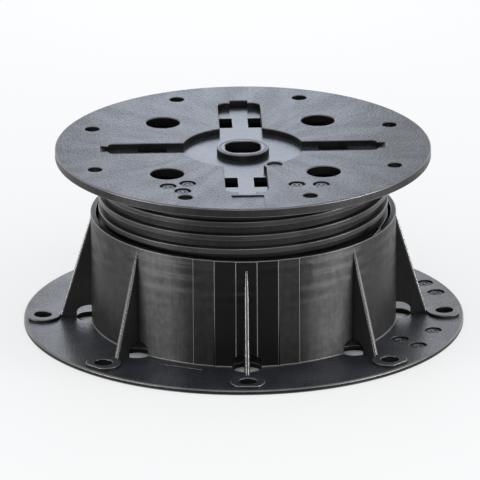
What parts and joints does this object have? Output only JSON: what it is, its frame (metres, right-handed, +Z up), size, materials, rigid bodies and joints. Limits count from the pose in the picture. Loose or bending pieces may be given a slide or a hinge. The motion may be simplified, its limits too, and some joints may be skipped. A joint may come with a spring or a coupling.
{
  "type": "decking pedestal",
  "caption": "Adjustable screw pedestal for decking or paving: a ribbed, threaded cup on a round flange and a slotted disc on a threaded skirt that screws into it.",
  "frame": {"origin": "centre of the flange's underside, on the ground", "axes": "+Z up along the screw's axis, -Y towards the front rib, +X to the right seen from the front"},
  "size_m": [0.203, 0.203, 0.0845],
  "materials": {
    "base_plastic": "black moulded polypropylene, satin",
    "head_plastic": "black moulded polypropylene, satin, slightly greyer on its top"
  },
  "bodies": {
    "base": {"base": "base_plastic"},
    "head": {"head": "head_plastic"}
  },
  "joints": [
    {"name": "height_adjust", "type": "slide", "parent": "base", "child": "head", "axis": [0, 0, 1], "range_m": [-0.0245, 0.0055]}
  ]
}
